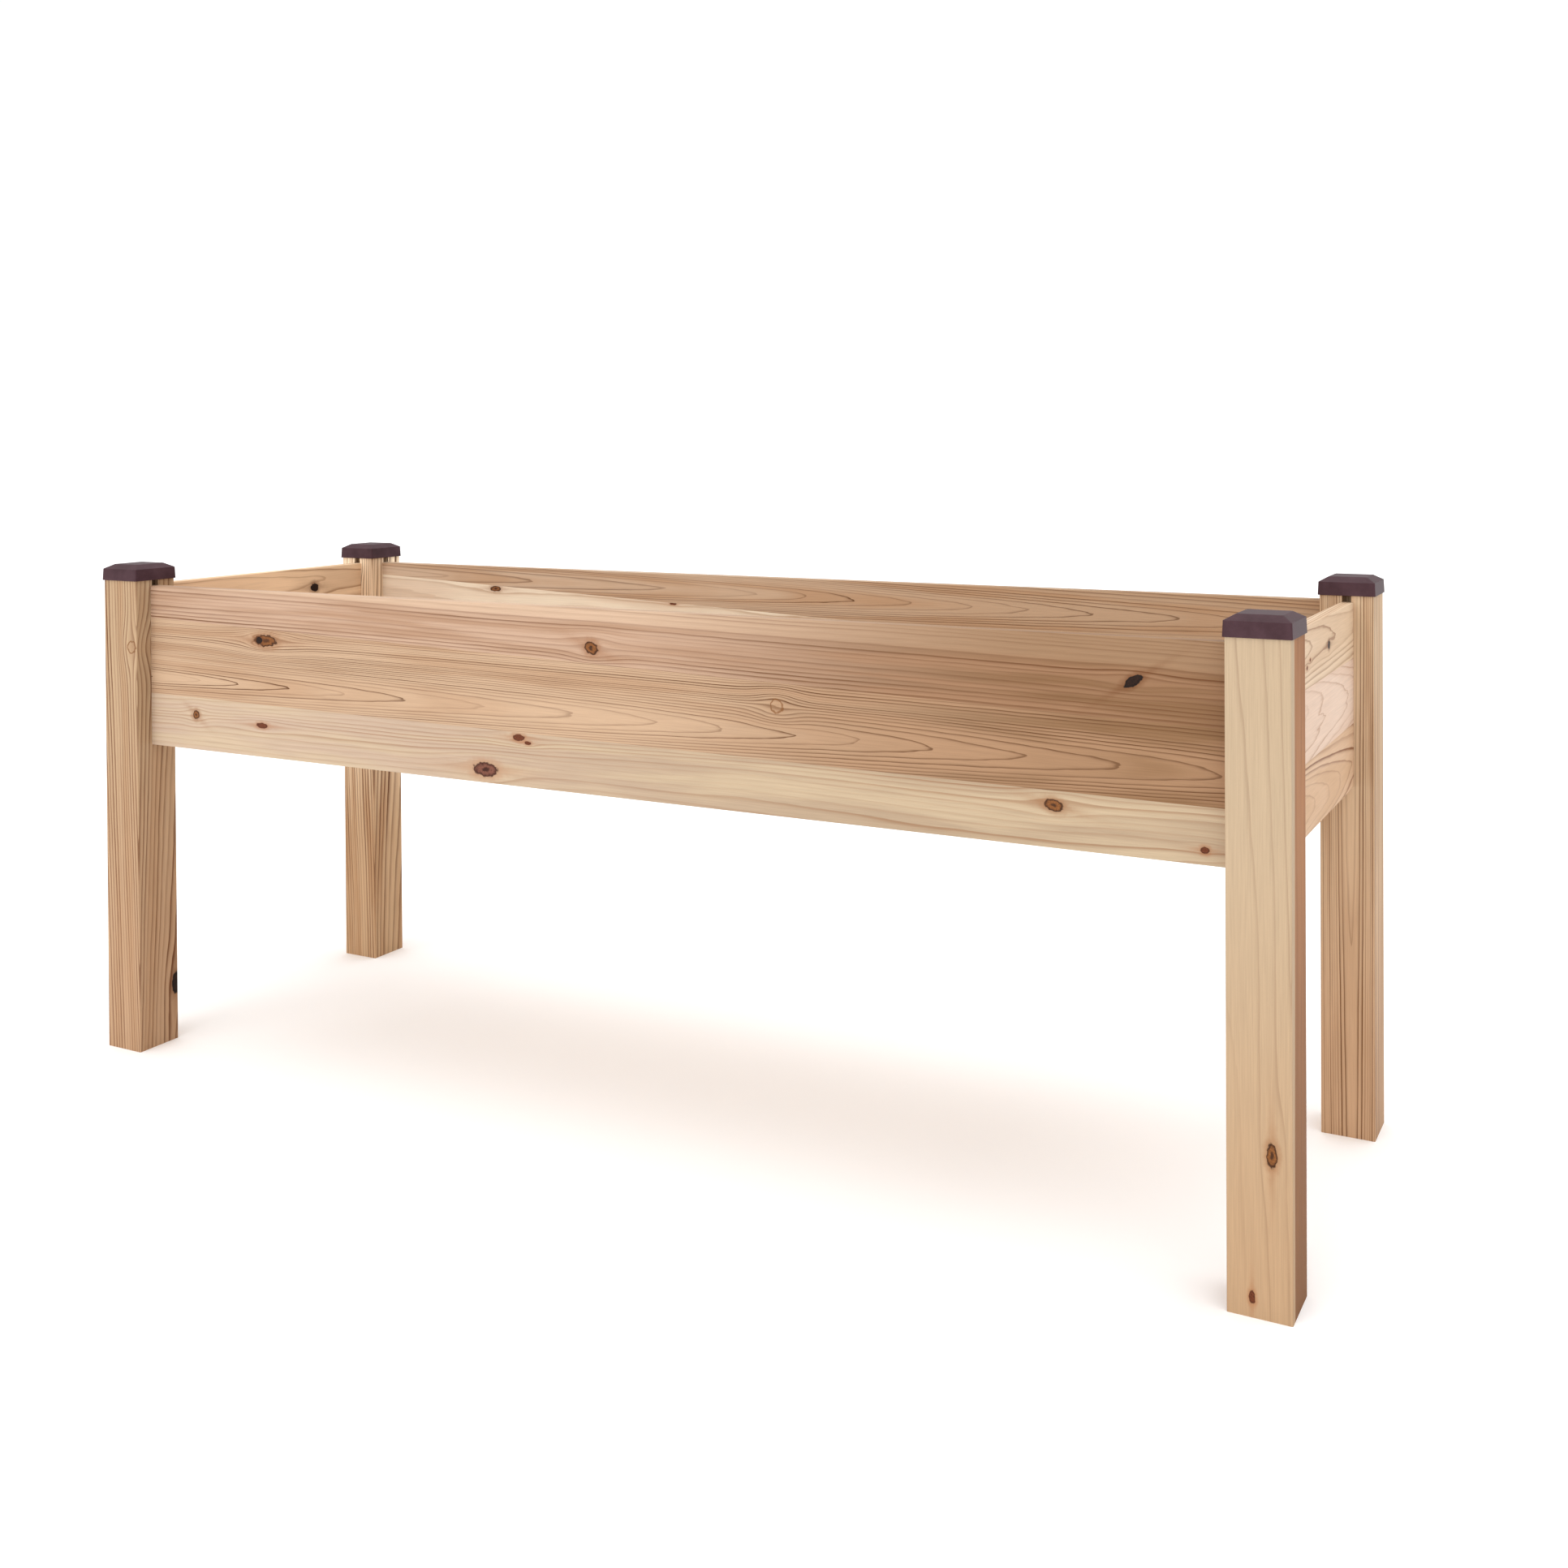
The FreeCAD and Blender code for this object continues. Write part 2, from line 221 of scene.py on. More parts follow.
def makeKnotPaint():
    group, given = newGroup("knotPaint", {
        "Position": (0, 0, 0), "Centre": (0, 0, 0), "Turn": (0, 0, 0), "Size": (10, through, 6),
        "Colour": (1, 1, 1, 1), "Heart": (1, 1, 1, 1), "Rim": (1, 1, 1, 1), "Halo": (1, 1, 1, 1),
        "Fill": 1.0, "Rim Amount": 0.8, "Halo Amount": 0.5, "Eye": 0.6, "Dent": 0.0,
    }, {"Colour": "Color", "Dent": "Float"})
    add = partial(addNode, group)
    rough = add("TexNoise", {
        "Vector": given["Position"], "Scale": knotLook["roughScale"], "Detail": knotLook["roughDetail"],
    })
    jitter = add("VectorMath", {0: rough.outputs["Color"], 1: (0.5, 0.5, 0.5)}, operation="SUBTRACT")
    spot = add("Mapping", {
        "Vector": given["Position"], "Location": given["Centre"], "Rotation": given["Turn"],
        "Scale": given["Size"],
    }, vector_type="TEXTURE")
    bent = add("VectorMath", {0: jitter, 1: knotLook["jitter"], 2: spot}, operation="MULTIPLY_ADD")
    distance = add("VectorMath", {0: bent}, operation="LENGTH")
    place = add("SeparateXYZ", {0: bent}).outputs
    bands = {}
    for name, (start, end) in knotLook["bands"].items():
        bands[name] = add("MapRange", {"Value": distance, "From Min": start, "From Max": end},
                          interpolation_type="SMOOTHSTEP")
    # halo: a stain that fades out, pulled into two tails along the grain
    along = add("Math", {0: place[0]}, operation="ABSOLUTE")
    tail = add("Math", {0: math.exp(-knotLook["tailFade"]), 1: along}, operation="POWER")
    acrossFlat = add("CombineXYZ", {1: place[1], 2: place[2]})
    aside = add("VectorMath", {0: acrossFlat, 1: acrossFlat}, operation="DOT_PRODUCT")
    narrow = add("Math", {0: math.exp(-knotLook["tailNarrow"]), 1: aside}, operation="POWER")
    wings = add("Math", {0: tail, 1: narrow}, operation="MULTIPLY")
    roundStain = add("Math", {0: bands["near"], 1: knotLook["roundStain"]}, operation="MULTIPLY")
    stain = add("Math", {0: wings, 1: roundStain}, operation="MAXIMUM")
    stain = add("Math", {0: stain, 1: given["Halo Amount"]}, operation="MULTIPLY")
    colour = add("Mix", {"Factor": stain, "A": given["Colour"], "B": given["Halo"]}, data_type="RGBA")
    # heart: fine rings of its own, mottled, darker towards a small eye
    speckle = add("TexNoise", {
        "Vector": given["Position"], "Scale": knotLook["speckleScale"], "Detail": knotLook["speckleDetail"],
    })
    turns = add("Math", {0: distance, 1: knotLook["ripplePitch"]}, operation="MULTIPLY")
    ripples = add("Math", {0: turns}, operation="SINE")
    shade = add("MapRange", {
        "Value": speckle, "From Min": knotLook["speckleFrom"][0], "From Max": knotLook["speckleFrom"][1],
        "To Min": knotLook["speckleTo"][0], "To Max": knotLook["speckleTo"][1],
    })
    shade = add("Math", {0: ripples, 1: knotLook["rippleDepth"], 2: shade}, operation="MULTIPLY_ADD")
    heart = add("Mix", {"Factor": 1.0, "A": given["Heart"], "B": shade},
                data_type="RGBA", blend_type="MULTIPLY")
    eye = add("Math", {0: bands["eye"], 1: given["Eye"]}, operation="MULTIPLY")
    heart = add("Mix", {"Factor": eye, "A": heart, "B": given["Rim"]}, data_type="RGBA")
    inside = add("Math", {0: bands["inside"], 1: given["Fill"]}, operation="MULTIPLY")
    colour = add("Mix", {"Factor": inside, "A": colour, "B": heart}, data_type="RGBA")
    # rim: a dark ring of bark, a little sunk
    rim = add("Math", {0: bands["rimIn"], 1: bands["rimOut"]}, operation="MULTIPLY")
    rim = add("Math", {0: rim, 1: given["Rim Amount"]}, operation="MULTIPLY")
    colour = add("Mix", {"Factor": rim, "A": colour, "B": given["Rim"]}, data_type="RGBA")
    dent = add("Math", {0: given["Dent"], 1: rim}, operation="SUBTRACT")
    add("NodeGroupOutput", {"Colour": colour, "Dent": dent})
    return group


ringGroup = makeRings()
knotPushGroup = makeKnotPush()
knotPaintGroup = makeKnotPaint()

# Planed bare cedar: satin at best, with rings, slow colour drift, fine fibres and knots.
# A piece's own look adds its pith line, colours and knots to these, or takes the place of one.
cedarLook = {
    "knotLength": 1.7, "knotPull": 0.9,         # rings part further along the grain than a knot is long
    "patchLength": 330.0, "patchDetail": 2.5, "patchFrom": (0.40, 0.66), "patchAmount": 0.6,
    "fibreFrom": (0.25, 0.75), "fibreTone": (0.90, 1.07),
    "rowSeed": 7.3, "rowShift": 30.0, "rowTone": (0.88, 1.06),      # how pieces in a row differ
    "fibreHeight": 0.6, "knotDent": 1.5, "relief": 0.35, "reliefDepth": 0.0003,
    "roughness": (0.66, 0.52),                  # early wood, then the smoother late wood
    "ior": 1.5, "sheen": 0.16,
}


def ownPlace(add, position, look):
    # a row of like pieces along Z: each takes its own seed, tone and part of the log
    rowPlace = add("SeparateXYZ", {0: position}).outputs[2]
    steps = add("Math", {0: rowPlace, 1: look["pitch"]}, operation="DIVIDE")
    number = add("Math", {0: steps}, operation="FLOOR")
    tone = add("TexWhiteNoise", {"W": number}, noise_dimensions="1D")
    seed = add("Math", {0: number, 1: look["rowSeed"], 2: look["seed"]}, operation="MULTIPLY_ADD")
    shiftY = add("MapRange", {"Value": tone, "To Min": -look["rowShift"], "To Max": look["rowShift"]})
    shiftZ = add("Math", {0: number, 1: -look["pitch"]}, operation="MULTIPLY")
    shift = add("CombineXYZ", {1: shiftY, 2: shiftZ})
    return add("VectorMath", {0: position, 1: shift}, operation="ADD"), seed, tone


def woodColour(add, look, placeX, seed, line, radius):
    # heartwood that drifts along the board, with slow patches of another tone that follow the rings. On the
    # back left leg and on the left and back walls these colours are also set paler, as painted light against
    # the shade inside the planter
    drift = add("MapRange", {"Value": placeX, "From Min": look["drift"][0], "From Max": look["drift"][1]},
                interpolation_type="SMOOTHSTEP")
    wood = add("Mix", {"Factor": drift, "A": linear(look["near"]), "B": linear(look["far"])},
               data_type="RGBA")
    patchX = add("Math", {0: placeX, 1: 1 / look["patchLength"]}, operation="MULTIPLY")
    patchY = add("Math", {0: radius, 1: 1 / look["patch"]}, operation="MULTIPLY")
    patchPlace = add("CombineXYZ", {0: patchX, 1: patchY, 2: seed})
    patch = add("TexNoise", {"Vector": patchPlace, "Scale": 1.0, "Detail": look["patchDetail"]})
    patch = add("MapRange", {
        "Value": patch, "From Min": look["patchFrom"][0], "From Max": look["patchFrom"][1],
        "To Max": look["patchAmount"],
    }, interpolation_type="SMOOTHSTEP")
    wood = add("Mix", {"Factor": patch, "A": wood, "B": linear(look["patchColour"])}, data_type="RGBA")
    lineAmount = add("Math", {0: line, 1: look["line"]}, operation="MULTIPLY")
    if "sapRadius" in look:     # paler sapwood with fainter lines, from this many millimetres off the pith
        sap = add("MapRange", {
            "Value": radius, "From Min": look["sapRadius"], "From Max": look["sapRadius"] + look["sapEdge"],
        }, interpolation_type="SMOOTHSTEP")
        sapwood = add("Mix", {"Factor": drift, "A": linear(look["sapNear"]), "B": linear(look["sapFar"])},
                      data_type="RGBA")
        wood = add("Mix", {"Factor": sap, "A": wood, "B": sapwood}, data_type="RGBA")
        fade = add("MapRange", {"Value": sap, "To Min": 1.0, "To Max": look["sapLine"]})
        lineAmount = add("Math", {0: lineAmount, 1: fade}, operation="MULTIPLY")
    return add("Mix", {"Factor": lineAmount, "A": wood, "B": linear(look["lineColour"])}, data_type="RGBA")


def planedCedar(name, origin, turn, ownLook):
    look = {**cedarLook, **ownLook}
    material, tree = newMaterial(name)
    add = partial(addNode, tree)
    coords = add("TexCoord").outputs["Object"]
    position = add("Mapping", {
        "Vector": coords, "Location": origin, "Rotation": turn, "Scale": [1 / perMetre] * 3,
    }, vector_type="TEXTURE")
    seed, tone = look["seed"], None
    if "pitch" in look:
        position, seed, tone = ownPlace(add, position, look)
    placeX = add("SeparateXYZ", {0: position}).outputs[0]

    push = (0, 0, 0)
    for kind, centre, size, tilt in look["knots"]:
        push = add("Group", {
            "Position": position, "Centre": centre, "Size": (size[0] * look["knotLength"], size[1], size[2]),
            "Across": [0] + [look["knotPull"] if half < through else 0 for half in size[1:]], "Push": push,
        }, node_tree=knotPushGroup)
    shape = {key: value for key, value in look.items() if key[0].isupper()}
    rings = add("Group", dict(shape, Position=position, Push=push, Seed=seed), node_tree=ringGroup)
    line, radius, fibre = rings.outputs

    colour = woodColour(add, look, placeX, seed, line, radius)
    streak = add("MapRange", {
        "Value": fibre, "From Min": look["fibreFrom"][0], "From Max": look["fibreFrom"][1],
        "To Min": look["fibreTone"][0], "To Max": look["fibreTone"][1],
    })
    if tone:
        ownTone = add("MapRange", {"Value": tone, "To Min": look["rowTone"][0], "To Max": look["rowTone"][1]})
        streak = add("Math", {0: streak, 1: ownTone}, operation="MULTIPLY")
    colour = add("Mix", {"Factor": 1.0, "A": colour, "B": streak}, data_type="RGBA", blend_type="MULTIPLY")
    dent = 0.0
    for kind, centre, size, tilt in look["knots"]:
        paint = {key: linear(value) if isinstance(value, str) else value
                 for key, value in knotKinds[kind].items()}
        tilt = math.radians(tilt)
        colour, dent = add("Group", dict(paint, **{
            "Position": position, "Centre": centre, "Size": size, "Colour": colour, "Dent": dent,
            "Turn": (0, 0, tilt) if size[1] < through else (0, tilt, 0),
        }), node_tree=knotPaintGroup).outputs

    height = add("Math", {0: fibre, 1: look["fibreHeight"], 2: line}, operation="MULTIPLY_ADD")
    height = add("Math", {0: dent, 1: look["knotDent"], 2: height}, operation="MULTIPLY_ADD")
    bump = add("Bump", {"Height": height, "Strength": look["relief"], "Distance": look["reliefDepth"]})
    roughness = add("MapRange", {
        "Value": line, "To Min": look["roughness"][0], "To Max": look["roughness"][1],
    })
    shader = add("BsdfPrincipled", {
        "Base Color": colour, "Roughness": roughness, "Normal": bump,
        "IOR": look["ior"], "Specular IOR Level": look["sheen"],
    })
    add("OutputMaterial", {"Surface": shader})
    return material


def paintWall(wall, boards, alongAxis):
    # three boards share one frame: X along the wall from its left or front end, Z up from its foot
    boxes = [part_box(f"{wall}_board_{board}") for board in boardNames]
    low = [min(box[0][i] for box in boxes) for i in range(3)]
    high = [max(box[1][i] for box in boxes) for i in range(3)]
    nearLeg = "leg_front_left"
    farLeg = "leg_back_left" if alongAxis == 1 else "leg_front_right"
    start = (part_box(nearLeg)[1][alongAxis] - low[alongAxis]) * perMetre     # where the wall leaves the leg
    length = (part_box(farLeg)[0][alongAxis] - low[alongAxis]) * perMetre - start
    height = (high[2] - low[2]) * perMetre
    origin = (high[0], low[1], low[2]) if alongAxis == 1 else tuple(low)
    for board in boardNames:
        look = dict(boards[board])
        look["knots"] = [(kind, (start + along * length, 0.0, up * height), (sizeX, through, sizeZ), tilt)
                         for kind, along, up, sizeX, sizeZ, tilt in look["spots"]]
        material = planedCedar(f"planedCedar_{wall}_{board}", origin, (0, 0, alongAxis * quarterTurn), look)
        finishWith(material, f"{wall}_board_{board}")


# Walls. Each spot: kind of knot, share of the clear length from the wall's left or front end, share of
# the height from the foot, half sizes in millimetres, tilt in degrees
frontBoards = {
    "top": {
        "seed": 3.1, "Pith Y": 60.0, "Pith Z": -10.0, "Lean Y": 0.010, "Lean Z": -0.018,
        "Ring Width": 5.6, "Wander": 2.2, "lineColour": "#633c1e", "line": 0.85,
        "near": "#bd9d85", "far": "#815f41", "drift": (800.0, 1550.0),
        "patchColour": "#9f795c", "patch": 13.0,
        "sapRadius": 262.0, "sapEdge": 12.0, "sapLine": 0.6, "sapNear": "#c8aa90", "sapFar": "#967659",
        "spots": [("brown", 0.496, 0.79, 10.5, 8.0, 20), ("dark", 0.935, 0.80, 12.0, 5.2, -32)],
    },
    "middle": {
        "seed": 8.4, "Pith Y": 22.0, "Pith Z": 108.0, "Lean Y": 0.034, "Lean Z": -0.003,
        "Ring Width": 3.9, "Wander": 1.8, "Squeeze": 1.7, "Wobble": 0.9,
        "lineColour": "#583417", "line": 0.95,
        "near": "#bfa083", "far": "#836142", "drift": (850.0, 1650.0),
        "patchColour": "#ac8768", "patch": 22.0,
        "spots": [("brown", 0.145, 0.705, 22.0, 8.5, 0), ("dark", 0.1375, 0.705, 6.0, 5.0, 0),
                  ("ring", 0.663, 0.557, 9.5, 9.0, 0)],
    },
    "bottom": {
        "seed": 5.7, "Pith Y": 70.0, "Pith Z": -36.0, "Lean Y": 0.0, "Lean Z": 0.014,
        "Ring Width": 4.6, "Wander": 5.5, "Wobble": 0.5, "lineColour": "#83532b", "line": 0.50,
        "near": "#bca48f", "far": "#aa9379", "drift": (200.0, 1500.0),
        "patchColour": "#c3ae90", "patch": 13.0,
        "spots": [("brown", 0.058, 0.215, 6.5, 6.5, 35), ("pin", 0.14, 0.19, 11.0, 4.0, 0),
                  ("plum", 0.39, 0.074, 21.0, 9.5, 0), ("pin", 0.424, 0.27, 10.0, 4.5, 0),
                  ("pin", 0.433, 0.244, 5.5, 2.5, 0), ("brown", 0.879, 0.20, 11.5, 6.5, 12),
                  ("pin", 0.983, 0.067, 5.0, 4.0, 0)],
    },
}
# The back wall shows its inside: its pale colours are partly the wood's own pale sapwood and partly painted
# light that offsets the shade inside the planter
backBoards = {
    "top": {
        "seed": 13.0, "Pith Y": -22.0, "Pith Z": 232.0, "Lean Y": -0.030, "Lean Z": -0.012,
        "Ring Width": 4.2, "Wander": 1.8, "Squeeze": 1.8, "lineColour": "#52300f", "line": 1.0,
        "near": "#c8af97", "far": "#b99c80", "drift": (200.0, 1500.0),
        "patchColour": "#b18a67", "patch": 14.0,
        "spots": [],
    },
    "middle": {
        "seed": 15.5, "Pith Y": -150.0, "Pith Z": 170.0, "Lean Y": 0.0, "Lean Z": -0.03,
        "Ring Width": 5.5, "Wander": 5.0, "lineColour": "#9a6b41", "line": 0.55,
        "near": "#dfccb6", "far": "#baa084", "drift": (250.0, 1500.0),
        "patchColour": "#efe5d0", "patch": 12.0,
        "spots": [("brown", 0.155, 0.845, 11.0, 4.5, 0), ("pin", 0.37, 0.84, 10.0, 3.5, 0),
                  ("pin", 0.375, 0.80, 7.0, 2.0, 0)],
    },
    "bottom": {
        "seed": 18.2, "Pith Y": -60.0, "Pith Z": 40.0, "Lean Y": 0.01, "Lean Z": 0.0,
        "Ring Width": 4.6, "Wander": 3.5, "lineColour": "#83522b", "line": 0.65,
        "near": "#c8a27f", "far": "#b88e69", "drift": (200.0, 1500.0),
        "patchColour": "#d0a988", "patch": 14.0,
        "spots": [("brown", 0.62, 0.2, 14.0, 7.0, 10)],
    },
}
rightBoards = {
    "top": {
        "seed": 21.0, "Pith Y": 45.0, "Pith Z": 225.0, "Lean Y": 0.02, "Lean Z": 0.0,
        "Ring Width": 4.8, "Wander": 4.0, "lineColour": "#7a4a22", "line": 0.85,
        "near": "#dbc3a9", "far": "#d5ba9c", "drift": (0.0, 480.0),
        "patchColour": "#c5a586", "patch": 12.0,
        "spots": [("dark", 0.62, 0.85, 6.5, 5.0, 0), ("pin", 0.32, 0.80, 3.5, 2.5, 0),
                  ("pin", 0.36, 0.83, 3.0, 2.0, 0)],
    },
    "middle": {
        "seed": 24.5, "Pith Y": 120.0, "Pith Z": 130.0, "Lean Y": 0.03, "Lean Z": 0.0,
        "Ring Width": 3.6, "Wander": 3.5, "lineColour": "#8f5d34", "line": 0.70,
        "near": "#d6baa5", "far": "#d9c0ad", "drift": (0.0, 480.0),
        "patchColour": "#cead95", "patch": 16.0,
        "spots": [],
    },
    "bottom": {
        "seed": 27.0, "Pith Y": 50.0, "Pith Z": 35.0, "Lean Y": 0.05, "Lean Z": 0.0,
        "Ring Width": 5.0, "Wander": 4.5, "lineColour": "#74411b", "line": 0.90,
        "near": "#d3b497", "far": "#cca98a", "drift": (0.0, 480.0),
        "patchColour": "#bf9975", "patch": 12.0,
        "spots": [],
    },
}
# the left wall is cut from like boards: its inside is the face that shows. Its top and middle boards are
# painted paler than the right wall's: painted light that offsets the shade inside the planter
leftBoards = {
    "top": dict(rightBoards["top"], seed=31.0, near="#efcba7", far="#efd0ad",
                spots=[("dark", 0.74, 0.86, 9.0, 7.0, 0)]),
    "middle": dict(rightBoards["middle"], seed=33.0, near="#e4c6a7", far="#e0c0a0"),
    "bottom": dict(rightBoards["bottom"], seed=36.0),
}
paintWall("front", frontBoards, 0)
paintWall("back", backBoards, 0)
paintWall("right", rightBoards, 1)
paintWall("left", leftBoards, 1)
print("walls painted")

# Legs: from the middle of the foot, X runs up the leg, Y is the planter's Y and Z the planter's -X.
# Each knot: kind, middle, half sizes, tilt
legLooks = {
    "front_left": {
        "seed": 41.0, "Pith Y": 74.0, "Pith Z": 96.0, "Lean Y": 0.010, "Lean Z": 0.022,
        "Ring Width": 4.0, "Wander": 2.6, "lineColour": "#623617", "line": 1.0,
        "near": "#b79474", "far": "#b79a7a", "drift": (0.0, 700.0),
        "patchColour": "#a47a55", "patch": 12.0, "patchAmount": 0.35,
        "knots": [("ring", (634.0, 0.0, -25.0), (10.0, through, 9.0), 0),
                  ("dark", (90.0, 33.0, -36.0), (17.0, 8.0, 26.0), 0)],
    },
    "front_right": {
        "seed": 44.0, "Pith Y": 402.0, "Pith Z": 60.0, "Lean Y": 0.004, "Lean Z": 0.010,
        "Ring Width": 3.2, "Wander": 1.6, "Wobble": 0.25, "lineColour": "#5b2e0f", "line": 1.15,
        "near": "#81552f", "far": "#a8744b", "drift": (0.0, 600.0),
        "patchColour": "#845734", "patch": 12.0,
        "sapRadius": 435.5, "sapEdge": 3.0, "sapLine": 0.40, "sapNear": "#b29271", "sapFar": "#b69f83",
        "knots": [("brown", (180.0, 0.0, -14.0), (13.0, through, 5.5), 0),
                  ("pin", (22.0, 0.0, 8.0), (7.0, through, 3.5), 0)],
    },
    # back left: its top, seen inside the planter, is painted much paler (far, from 200 mm up): painted light
    # that offsets the shade inside the planter box
    "back_left": {
        "seed": 47.0, "Pith Y": 60.0, "Pith Z": 90.0, "Lean Y": 0.008, "Lean Z": 0.018,
        "Ring Width": 4.0, "Wander": 2.4, "lineColour": "#603617", "line": 1.0,
        "near": "#c19f7b", "far": "#ffe7c7", "drift": (200.0, 620.0),
        "patchColour": "#a57952", "patch": 12.0,
        "knots": [("ring", (726.0, 0.0, 0.0), (8.0, through, 7.0), 0)],
    },
    "back_right": {
        "seed": 50.0, "Pith Y": -17.0, "Pith Z": -5.0, "Lean Y": -0.006, "Lean Z": 0.0,
        "Ring Width": 2.9, "Wander": 1.0, "Wobble": 0.3, "lineColour": "#5f3717", "line": 1.1,
        "near": "#b99473", "far": "#cdb191", "drift": (0.0, 700.0),
        "patchColour": "#ad8867", "patch": 12.0,
        "knots": [],
    },
}
for corner in cornerNames:
    low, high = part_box("leg_" + corner)
    footMiddle = ((low[0] + high[0]) / 2, (low[1] + high[1]) / 2, low[2])
    material = planedCedar("planedCedar_leg_" + corner, footMiddle, (0, -quarterTurn, 0), legLooks[corner])
    finishWith(material, "leg_" + corner)
print("legs painted")

# Floor: sawn slats in a row, rougher than the boards, each cut from another part of the log.
# X runs along a slat, Y up and Z along the row.
slatNames = sorted(name for name in cadNodes if name.startswith("floor_slat_"))
firstLow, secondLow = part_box(slatNames[0])[0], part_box(slatNames[1])[0]
slatLook = {
    "seed": 61.0, "Pith Y": -70.0, "Pith Z": -20.0, "Lean Y": 0.02, "Lean Z": 0.0,
    "Ring Width": 4.6, "Wander": 4.0, "lineColour": "#83522b", "line": 0.70,
    "near": "#dfc2a2", "far": "#dcbd9c", "drift": (0.0, 500.0),
    "patchColour": "#e6cdb0", "patch": 14.0,
    "pitch": (secondLow[0] - firstLow[0]) * perMetre, "relief": 0.8, "knots": [],
}
sawnCedar = planedCedar("sawnCedar_floor", tuple(firstLow), (quarterTurn, 0, quarterTurn), slatLook)
finishWith(sawnCedar, *slatNames)

# Ledgers and ties: the same cedar, each with its own grain
railLook = {
    "seed": 71.0, "Pith Y": 60.0, "Pith Z": 70.0, "Lean Y": 0.0, "Lean Z": 0.01,
    "Ring Width": 4.4, "Wander": 3.0, "lineColour": "#83542d", "line": 0.65,
    "near": "#c39a75", "far": "#bc916c", "drift": (0.0, 1700.0),
    "patchColour": "#cca784", "patch": 14.0,
    "knots": [],
}
railSeedStep = 3
railNames = [name for name in cadNodes if name.startswith(("ledger_", "cross_tie_")) and "screws" not in name]
for number, name in enumerate(sorted(railNames)):
    low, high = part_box(name)
    turn = 0 if high[0] - low[0] > high[1] - low[1] else quarterTurn
    look = dict(railLook, seed=railLook["seed"] + railSeedStep * number)
    finishWith(planedCedar("planedCedar_" + name, tuple(low), (0, 0, turn), look), name)
print("floor and rails painted")

# Screws
zincLook = {
    "straw": "#c3bda8", "grey": "#a8a49a", "roughness": (0.25, 0.5),
    "cloudsPerMetre": 600.0, "cloudDetail": 2.0,        # the plating clouds over about 2 mm
}


def zincSteel():
    # Zinc-plated steel: pale grey with a faint straw tint and a soft, uneven shine
    material, tree = newMaterial("zincPlatedSteel")
    add = partial(addNode, tree)
    coords = add("TexCoord").outputs["Object"]
    cloud = add("TexNoise", {
        "Vector": coords, "Scale": zincLook["cloudsPerMetre"], "Detail": zincLook["cloudDetail"],
    })
    tint = add("Mix", {"Factor": cloud, "A": linear(zincLook["straw"]), "B": linear(zincLook["grey"])},
               data_type="RGBA")
    roughness = add("MapRange", {
        "Value": cloud, "To Min": zincLook["roughness"][0], "To Max": zincLook["roughness"][1],
    })
    shader = add("BsdfPrincipled", {"Base Color": tint, "Roughness": roughness, "Metallic": 1.0})
    add("OutputMaterial", {"Surface": shader})
    return material


finishWith(zincSteel(), *[name for name in cadNodes if "screws" in name])

# Caps: hollow, with a drafted skirt, a wide chamfer, a flat top and crossed ribs that sit on the leg.
# The shape is in metres: heights from the cap's foot, and side lengths.
capLook = {
    "colour": "#3d262b", "worn": "#4c343a", "wornFrom": (0.35, 0.7),
    "patchesPerMetre": 35.0, "patchDetail": 4.0, "patchRoughness": 0.6,     # dusty patches of about 30 mm
    "roughness": (0.39, 0.54), "ior": 1.5, "sheen": 0.12,
    "grainSize": 1.2,           # moulded grain in millimetres, drawn a little coarse so that it shows
    "grainDetail": 1.0, "grainStrength": 0.25, "grainDepth": 0.0002,
    "skirtTop": 0.0182, "skirtSide": 0.0750, "flatSide": 0.0510,
    "fitSide": 0.0726, "innerTop": 0.0173, "ceiling": 0.0226, "ceilingSide": 0.0490,
    "ribHalf": 0.0008, "ribFoot": 0.0173,
    "corners": (0.0020, 5), "edges": (0.0010, 4), "rim": (0.0003, 2),       # each rounding's radius and steps
    "rimAngle": 1.0,            # in radians: the rim's edges turn at least this sharply
    "slack": 1e-5,              # two heights that differ by less than this are one
}


def mouldedPlastic():
    # Moulded polypropylene: dark plum-brown, satin, with a fine mould grain and dustier patches
    material, tree = newMaterial("mouldedPolypropylene")
    add = partial(addNode, tree)
    coords = add("TexCoord").outputs["Object"]
    cloud = add("TexNoise", {
        "Vector": coords, "Scale": capLook["patchesPerMetre"], "Detail": capLook["patchDetail"],
        "Roughness": capLook["patchRoughness"],
    })
    share = add("MapRange", {
        "Value": cloud, "From Min": capLook["wornFrom"][0], "From Max": capLook["wornFrom"][1],
    })
    tint = add("Mix", {"Factor": share, "A": linear(capLook["colour"]), "B": linear(capLook["worn"])},
               data_type="RGBA")
    roughness = add("MapRange", {
        "Value": cloud, "To Min": capLook["roughness"][0], "To Max": capLook["roughness"][1],
    })
    grain = add("TexNoise", {
        "Vector": coords, "Scale": perMetre / capLook["grainSize"], "Detail": capLook["grainDetail"],
    })
    bump = add("Bump", {
        "Height": grain, "Strength": capLook["grainStrength"], "Distance": capLook["grainDepth"],
    })
    shader = add("BsdfPrincipled", {
        "Base Color": tint, "Roughness": roughness, "Normal": bump,
        "IOR": capLook["ior"], "Specular IOR Level": capLook["sheen"],
    })
    add("OutputMaterial", {"Surface": shader})
    return material


def newItems(grown, kind):
    # the vertices, edges or faces that an extrude made
    return [item for item in grown["geom"] if isinstance(item, kind)]


def drawTo(grown, height, side):
    # takes the square end of an extrude to a height and a side length
    points = newItems(grown, bmesh.types.BMVert)
    width = max(point.co.x for point in points) - min(point.co.x for point in points)
    for point in points:
        point.co = Vector((point.co.x * side / width, point.co.y * side / width, height))


